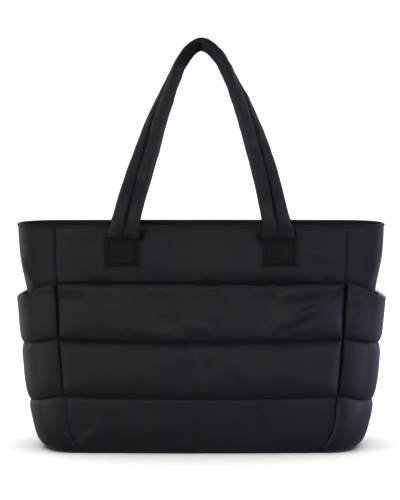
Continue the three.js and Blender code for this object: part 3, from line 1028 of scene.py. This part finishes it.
class MakeBackPanel(bpy.types.Operator):
    """Makes the back wall: quilted channels below a plain band"""

    bl_idname = "tote.back_panel"
    bl_label = "Back panel"

    def execute(self, context):
        sewn_rows = CHANNEL_ROWS * (len(FRONT_LINES) - 1)
        rows = sewn_rows + BAND_ROWS
        sewn_share = sewn_rows / rows
        bm, u, v = cell_grid(QUILT_COLUMNS, rows, BACK_CLOTH)
        across = across_at(u)
        share, _, sewn_height = quilt_rows(BACK_QUILT.lines, np.minimum(1, v / sewn_share), front_dip(across))
        in_band = v > sewn_share + TOUCH
        band_share = (v - sewn_share) / (1 - sewn_share)
        band_height = between(sewn_height, WALL_HEAD, band_share)
        height = np.where(in_band, band_height, np.maximum(WALL_FOOT, sewn_height))
        to_seam = (1 - np.abs(across)) * section_at(height)[1]
        roll = seam_roll(to_seam, BACK_QUILT.edge_roll, ROLL_POWER)
        plain = np.where(in_band, band_swell(across, height), 0)
        profile = channel_swell(share, False)
        swell = np.where(in_band, 0, BACK_QUILT.swell * profile * roll)
        off_edges = eased(band_share, 0, BAND_STIFF_SHARE) * eased(1 - band_share, 0, BAND_STIFF_SHARE)
        free = np.where(in_band, off_edges, profile)
        uneven = crinkle(front_points(across, height, plain), *QUILT_CRINKLE, seed=5) * free * roll
        bend(bm.verts, in_place(half_turn(front_points(across, height, plain + swell + uneven))))
        blow_up(bm, v, in_band | is_sewn(u, share))
        close_layer(bm, in_place(half_turn(front_points(across, height, plain - WALL))))
        panel = add_piece("back_panel_quilt", bm, quilted_nylon(), ("back_panel",))
        return {"FINISHED"}


class MakeGussets(bpy.types.Operator):
    """Makes the two gussets at the sides"""

    bl_idname = "tote.gussets"
    bl_label = "Gussets"

    def execute(self, context):
        sides = (
            ("right_gusset", unturned, RIGHT_GUSSET_FOLDS, 11),
            ("left_gusset", half_turn, LEFT_GUSSET_FOLDS, 17),
        )
        for name, turn, folds, seed in sides:
            bm, u, v = cell_grid(*GUSSET_CELLS, GUSSET_CLOTH)
            height = between(WALL_FOOT, WALL_HEAD, v**GUSSET_ROW_POWER)
            flat = gusset_points(u, height, 0)
            free = np.sin(math.pi * u) * eased(WALL_HEAD - height, 0, HEAD_STIFF_HEIGHT)
            along = (u - 0.5) * GUSSET_CLOTH[0]
            rise = crinkle(flat, *GUSSET_CRINKLE, seed) + fold_rise(folds, along, height)
            to_seam = np.minimum(u, 1 - u) * GUSSET_CLOTH[0]
            edge = SEAM_DEPTH * (1 - seam_roll(to_seam, SEAM_HALF_WIDTH))
            drawn = tuck(height - SIDE_LINES[-1].height(side_dip(u)))
            bend(bm.verts, in_place(turn(gusset_points(u, height, rise * free - edge - drawn))))
            close_layer(bm, in_place(turn(gusset_points(u, height, -WALL - drawn))))
            gusset = add_piece(f"{name}_nylon", bm, shell_nylon(), (name,))
        return {"FINISHED"}


class MakeBasePanel(bpy.types.Operator):
    """Makes the bottom panel that the bag stands on"""

    bl_idname = "tote.base_panel"
    bl_label = "Base panel"

    def execute(self, context):
        bm = bmesh.new()
        bmesh.ops.create_circle(bm, cap_ends=True, segments=LAP_CELLS, radius=1)
        laps = [(math.atan2(vert.co.y, vert.co.x) / math.tau % 1) * 4 for vert in bm.verts]
        bend(bm.verts, in_place(outline_points(np.array(laps), np.zeros(len(laps)), -BASE_INSET)))
        cloth = bm.loops.layers.uv.new("cloth")
        for face in bm.faces:
            for loop in face.loops:
                loop[cloth].uv = loop.vert.co.xy
        raised = bmesh.ops.extrude_face_region(bm, geom=bm.faces[:], use_keep_orig=True)
        top = [item for item in raised["geom"] if isinstance(item, bmesh.types.BMVert)]
        bmesh.ops.translate(bm, verts=top, vec=(0, 0, BASE_THICKNESS))
        bmesh.ops.recalc_face_normals(bm, faces=bm.faces[:])
        for face in bm.faces:
            face.material_index = int(face.normal.z > 0.5)
        rims = [edge for edge in bm.edges if edge.calc_face_angle(0) > SHARP_ANGLE]
        bmesh.ops.bevel(
            bm, geom=rims, offset=BASE_EDGE_ROUND, segments=2, profile=0.5, affect="EDGES", material=-1
        )
        base = add_piece("base_panel_nylon", bm, shell_nylon(), ("base_panel",))
        return {"FINISHED"}


class MakeRimBinding(bpy.types.Operator):
    """Makes the bound edge round the open top"""

    bl_idname = "tote.rim_binding"
    bl_label = "Rim binding"

    def execute(self, context):
        bm, u, v = cell_grid(LAP_CELLS, BINDING_SIDES, BINDING_CLOTH)
        angle = v * math.tau
        sideways = rounded(np.cos(angle), BINDING_ROUNDNESS)
        upward = rounded(np.sin(angle), BINDING_ROUNDNESS)
        out = -WALL / 2 + sideways * BINDING_WIDTH / 2
        height = RIM_HEIGHT + (upward - 1) * BINDING_HEIGHT / 2
        ring = outline_points((u * 4) % 4, np.full_like(u, RIM_HEIGHT), out)
        ring[:, 2] = height
        bend(bm.verts, in_place(ring))
        cloth = bm.loops.layers.uv.active
        for face in bm.faces:
            girth = sum(loop[cloth].uv.y for loop in face.loops) / len(face.loops)
            faces_in = math.cos(girth / BINDING_CLOTH[1] * math.tau) < 0
            face.material_index = int(faces_in)
        weld(bm)
        add_piece("rim_binding_nylon", bm, shell_nylon(), ("rim_binding",))
        return {"FINISHED"}


class MakeFrontPocket(bpy.types.Operator):
    """Makes the puffed slip pocket on the front"""

    bl_idname = "tote.front_pocket"
    bl_label = "Front pocket"

    def execute(self, context):
        rows = CHANNEL_ROWS * (len(FRONT_LINES) - 1)
        bm, u, v = cell_grid(QUILT_COLUMNS, rows, FRONT_POCKET_CLOTH)
        across = across_at(u)
        share, channel, height = quilt_rows(FRONT_QUILT.lines, v, front_dip(across))
        is_open, to_edge = below_open_edge(FRONT_LINES, share, channel)
        sunk = line_sink(height, across)
        half_width = section_at(height)[1]
        to_seam = (1 - np.abs(across)) * half_width
        slit = np.where(across < 0, *SEAM_SLITS) * between(SLIT_FOOT, 1, v)
        across = across * (1 - slit / half_width)
        x = across * half_width
        filled = seam_fill(np.where(across < 0, *SEAM_FILLS), v)
        roll = between(filled, 1, seam_roll(to_seam, FRONT_QUILT.edge_roll, ROLL_POWER))
        inner = pocket_room(FRONT_QUILT, v, 1 - across**4)
        profile = channel_swell(share, is_open, np.array(FRONT_POWERS)[channel])
        fullness = profile * roll * np.array(FRONT_FULLNESS)[channel]
        uneven = crinkle(front_points(across, height, inner), *QUILT_CRINKLE, seed=3)
        flare = LIP_FLARE * (1 - eased(to_edge, 0, LIP_FLARE_HEIGHT))
        rise = fold_rise(FRONT_FOLDS, x, height) + uneven
        swell = (FRONT_QUILT.swell + flare + rise) * fullness
        at_edge = seam_roll(to_seam, EDGE_ROLL)
        cloth = WALL * between(filled, 1, at_edge) - sunk * at_edge
        lip = seam_roll(to_edge, LIP_RADIUS)
        height = height - LIP_DIP * lip_gape(x) * (1 - eased(to_edge, 0, LIP_DIP_REACH))
        bend(bm.verts, in_place(front_points(across, height, inner + (cloth + swell) * lip)))
        pinned = is_sewn(u, share) | (to_edge < LIP_HELD)
        blow_up(bm, v, pinned, np.array(FRONT_CREASES)[channel])
        close_layer(bm, in_place(front_points(across, height, inner)))
        pocket = add_piece("front_pocket_quilt", bm, quilted_nylon(), ("front_pocket",))
        return {"FINISHED"}


class MakeSidePockets(bpy.types.Operator):
    """Makes the puffed pocket on each gusset"""

    bl_idname = "tote.side_pockets"
    bl_label = "Side pockets"

    def execute(self, context):
        left_fill, right_fill = SEAM_FILLS
        sides = (
            ("right_pocket", unturned, SIDE_QUILT.swell, right_fill, 23),
            ("left_pocket", half_turn, LEFT_SWELL, left_fill, 29),
        )
        for name, turn, full_swell, fill, seed in sides:
            rows = CHANNEL_ROWS * (len(SIDE_LINES) - 1)
            bm, u, v = cell_grid(GUSSET_CELLS[0], rows, SIDE_POCKET_CLOTH)
            share, channel, height = quilt_rows(SIDE_QUILT.lines, v, side_dip(u))
            is_open, to_edge = below_open_edge(SIDE_LINES, share, channel)
            to_seam = np.minimum(u, 1 - u) * math.pi * section_at(height)[2]
            filled = seam_fill(fill, v)
            roll = between(filled, 1, seam_roll(to_seam, SIDE_QUILT.edge_roll, ROLL_POWER))
            inner = pocket_room(SIDE_QUILT, v, side_dip(u))
            fullness = channel_swell(share, is_open) * roll
            uneven = crinkle(gusset_points(u, height, inner), *QUILT_CRINKLE, seed)
            swell = (full_swell + uneven) * fullness
            cloth = WALL * between(filled, 1, seam_roll(to_seam, EDGE_ROLL))
            lip = seam_roll(to_edge, LIP_RADIUS)
            bend(bm.verts, in_place(turn(gusset_points(u, height, inner + (cloth + swell) * lip))))
            blow_up(bm, v, is_sewn(u, share) | (to_edge < LIP_HELD))
            close_layer(bm, in_place(turn(gusset_points(u, height, inner))))
            pocket = add_piece(f"{name}_quilt", bm, quilted_nylon(), (name,))
        return {"FINISHED"}


class MakeHandles(bpy.types.Operator):
    """Makes the two padded handles, each with a seam down its outer face"""

    bl_idname = "tote.handles"
    bl_label = "Handles"

    def execute(self, context):
        for name, facing, seed in (("front_handle", -1, 31), ("back_handle", 1, 37)):
            run, sections = self.stations(facing)
            arc = arc_lengths(run)
            bm, u, v = cell_grid(*STRAP_CELLS, (STRAP_GIRTH, float(arc[-1])))
            points = self.section_points(run, sections, arc, u, v, facing, seed)
            if facing < 0:
                points += self.apex_slant(u, v)
            bend(bm.verts, in_place(points))
            weld(bm)
            bmesh.ops.holes_fill(bm, edges=[edge for edge in bm.edges if edge.is_boundary])
            bmesh.ops.recalc_face_normals(bm, faces=bm.faces[:])
            handle = add_piece(f"{name}_strap", bm, strap_nylon(), (name,))
        return {"FINISHED"}

    def stations(self, facing):
        """Points and sections of a strap, from the left foot over the apex to the right foot."""
        rows = np.array(STRAP_STATIONS)
        height, spread, sway, forward = rows[:, :4].T
        splay = 1 + forward / REAR_SPLAY if facing > 0 else 1
        legs = [
            np.stack((side * spread * splay + sway, facing * forward, height), axis=-1) for side in (-1, 1)
        ]
        run = np.concatenate((legs[0], legs[1][-2::-1]))
        sections = np.concatenate((rows[:, 4:], rows[-2::-1, 4:]))
        return run, sections

    def section_points(self, run, sections, arc, u, v, facing, seed):
        """Points round a strap's sections, which turn as they go along it. u starts on the inner face."""
        at = v * arc[-1]
        step = 0.0005
        middle = curve_through(arc, run, at)
        along = curve_through(arc, run, at + step) - curve_through(arc, run, at - step)
        along /= np.linalg.norm(along, axis=1, keepdims=True)
        width, thickness, turn = np.stack([np.interp(at, arc, column) for column in sections.T])
        off = np.array((0.0, facing, 0.0)) - along * (along[:, 1:2] * facing)
        off /= np.linalg.norm(off, axis=1, keepdims=True)
        outward = np.cross(off, along) * -facing
        turn = np.radians(turn)[:, None]
        face = off * np.cos(turn) + outward * np.sin(turn)
        across = np.cross(along, face)
        angle = u * math.tau - math.pi / 2
        free = eased(v, *STRAP_FOOT) * eased(1 - v, *STRAP_FOOT)
        wave = 1 + STRAP_WAVE * unevenness(middle, STRAP_WAVE_BUMPS, seed) * free
        sideways = rounded(np.cos(angle), STRAP_ROUNDNESS) * width / 2 * wave
        upward = rounded(np.sin(angle), STRAP_ROUNDNESS)
        smooth = middle + across * sideways[:, None] + face * (upward * thickness / 2)[:, None]
        wander = STRAP_WANDER * unevenness(middle, STRAP_WANDER_BUMPS, seed + 1) * free
        to_seam = (sideways - wander) / STRAP_GROOVE_HALF_WIDTH
        full = np.clip(thickness / STRAP_PADDING, 0, 1)
        groove = STRAP_GROOVE * full * np.exp(-(to_seam**2)) * (upward > 0)
        pucker = STRAP_PUCKER * unevenness(smooth, STRAP_PUCKER_BUMPS, seed + 2) * free * upward
        points = smooth + face * (pucker - groove)[:, None]
        ends = (v < TOUCH) | (v > 1 - TOUCH)
        points[ends, 2] = STRAP_STATIONS[0].height
        return points

    def apex_slant(self, u, v):
        """The crumpled stretch just left of the front apex, whose near edge slants back under the strap."""
        stretch = eased(v, *APEX_SLANT_START) * (1 - eased(v, *APEX_SLANT_END))
        angle = u * math.tau - math.pi / 2
        below = 0.5 - 0.5 * rounded(np.sin(angle), STRAP_ROUNDNESS)
        near = np.sqrt(np.maximum(0, np.cos(angle)))
        back = APEX_SLANT * stretch * below * near
        return np.stack((np.zeros_like(back), back, np.zeros_like(back)), axis=-1)


class MakeTabs(bpy.types.Operator):
    """Makes the four sewn tabs at the handles' feet"""

    bl_idname = "tote.tabs"
    bl_label = "Tabs"

    def execute(self, context):
        for name, middle, turn in TABS:
            bm, u, v = cell_grid(*TAB_CELLS, (TAB_WIDTH, TAB_HEIGHT))
            bend(bm.verts, in_place(turn(tab_points(middle, u, v, TAB_THICKNESS + tab_relief(u, v)))))
            close_layer(bm, in_place(turn(tab_points(middle, u, v, 0))))
            tab = add_piece(f"{name}_nylon", bm, tab_nylon(), (name,))
        return {"FINISHED"}


class SewStitches(bpy.types.Operator):
    """Sews the rows of stitches that show: on the quilting lines, the rim and the tabs"""

    bl_idname = "tote.stitches"
    bl_label = "Stitches"

    def execute(self, context):
        front = [self.front_line(FRONT_QUILT, row) for row in (1, 2)]
        self.sew("front_pocket_stitches", front, "quilted_nylon")
        back = [half_turn(self.front_line(BACK_QUILT, row)) for row in (1, 2, 3)]
        self.sew("back_panel_stitches", back, "quilted_nylon")
        side = [self.side_line(row) for row in (1, 2)]
        self.sew("right_pocket_stitches", side, "quilted_nylon")
        self.sew("left_pocket_stitches", [half_turn(row) for row in side], "quilted_nylon")
        self.sew("rim_stitches", [self.rim_line()], "shell_nylon")
        for name, middle, turn in TABS:
            self.sew(f"{name}_stitches", [turn(row) for row in self.tab_rows(middle)], "tab_nylon")
        return {"FINISHED"}

    def front_line(self, quilt, row):
        """One quilting line across the front, or across the back before it is turned there."""
        across = np.linspace(-FRONT_ROW_END, FRONT_ROW_END, ROW_POINTS)
        height = quilt.lines[row].height(front_dip(across))
        if not quilt.slack:
            return front_points(across, height, 0)
        at = np.full_like(across, row / (len(quilt.lines) - 1))
        room = pocket_room(quilt, at, 1 - across**4)
        return front_points(across, height, room + WALL - line_sink(height, across))

    def side_line(self, row):
        """One quilting line round the right pocket."""
        u = np.linspace(SIDE_ROW_START, 1 - SIDE_ROW_START, ROW_POINTS)
        height = SIDE_LINES[row].height(side_dip(u))
        at = np.full_like(u, row / (len(SIDE_LINES) - 1))
        return gusset_points(u, height, pocket_room(SIDE_QUILT, at, side_dip(u)) + WALL)

    def rim_line(self):
        """The row round the outer face of the binding."""
        lap = np.linspace(0, 4, 4 * ROW_POINTS) % 4
        ring = outline_points(lap, np.full_like(lap, RIM_HEIGHT), (BINDING_WIDTH - WALL) / 2)
        ring[:, 2] = RIM_HEIGHT - RIM_ROW_DROP
        return ring

    def tab_rows(self, middle):
        """The border of a tab and the cross inside it."""
        inset_u = TAB_STITCH_INSET / TAB_WIDTH
        inset_v = TAB_STITCH_INSET / TAB_HEIGHT
        left, right, low, high = inset_u, 1 - inset_u, inset_v, 1 - inset_v
        corners = ((left, low), (right, low), (right, high), (left, high))
        pairs = [(corners[i], corners[(i + 1) % 4]) for i in range(4)] + [corners[::2], corners[1::2]]
        share = np.linspace(0, 1, ROW_POINTS)
        out = TAB_THICKNESS - STITCH_SINK
        return [
            tab_points(middle, between(a[0], b[0], share), between(a[1], b[1], share), out) for a, b in pairs
        ]

    def sew(self, name, rows, slot):
        """Lays small rounded stitches end to end along each row."""
        sizes = settings().sizes
        shape = Matrix.Diagonal((sizes.thread, sizes.thread, sizes.stitch_length, 1))
        bm = bmesh.new()
        for row in rows:
            arc = arc_lengths(row)
            count = max(1, round(arc[-1] / (sizes.stitch_length + sizes.stitch_gap)))
            starts = (np.arange(count) + STITCH_START) * arc[-1] / count
            first = np.stack([np.interp(starts, arc, axis) for axis in row.T], axis=-1)
            last = np.stack([np.interp(starts + sizes.stitch_length, arc, axis) for axis in row.T], axis=-1)
            for a, b in zip(in_place(first), in_place(last)):
                turn = Vector(b - a).to_track_quat("Z", "Y").to_matrix().to_4x4()
                place = Matrix.Translation((a + b) / 2) @ turn @ shape
                bmesh.ops.create_uvsphere(bm, u_segments=6, v_segments=4, radius=0.5, matrix=place)
        add_piece(name, bm, sewing_thread())


class ToteBagPanel(bpy.types.Panel):
    """Lists the steps that make the bag, and what can be changed"""

    bl_idname = "VIEW3D_PT_tote_bag"
    bl_label = "Tote Bag"
    bl_space_type = "VIEW_3D"
    bl_region_type = "UI"
    bl_category = "Tote Bag"

    def draw(self, context):
        for step in STEPS:
            self.layout.operator(step.bl_idname)
        bag = settings()
        for group in (bag.sizes, bag.wadding, bag.finish, bag.stage):
            box = self.layout.box()
            for name in group.bl_rna.properties.keys():
                if name not in ("rna_type", "name"):
                    box.prop(group, name)


STEPS = (
    MakeStage,
    MakeBasePanel,
    MakeRimBinding,
    MakeFrontPanel,
    MakeBackPanel,
    MakeGussets,
    MakeFrontPocket,
    MakeSidePockets,
    MakeHandles,
    MakeTabs,
    SewStitches,
)
CLASSES = (BagSizes, BagWadding, BagFinish, BagStage, BagSettings, *STEPS, ToteBagPanel)


def register():
    """Makes the operators, the settings and the panel known to Blender."""
    for cls in CLASSES:
        bpy.utils.register_class(cls)
    bpy.types.Scene.tote_bag = PointerProperty(type=BagSettings)


def unregister():
    """Takes them away again."""
    del bpy.types.Scene.tote_bag
    for cls in reversed(CLASSES):
        bpy.utils.unregister_class(cls)


def main():
    """Makes the stage and the bag."""
    register()
    bpy.ops.tote.stage()
    bpy.ops.tote.base_panel()
    bpy.ops.tote.rim_binding()
    bpy.ops.tote.front_panel()
    bpy.ops.tote.back_panel()
    bpy.ops.tote.gussets()
    bpy.ops.tote.front_pocket()
    bpy.ops.tote.side_pockets()
    bpy.ops.tote.handles()
    bpy.ops.tote.tabs()
    bpy.ops.tote.stitches()


if __name__ == "__main__":
    main()
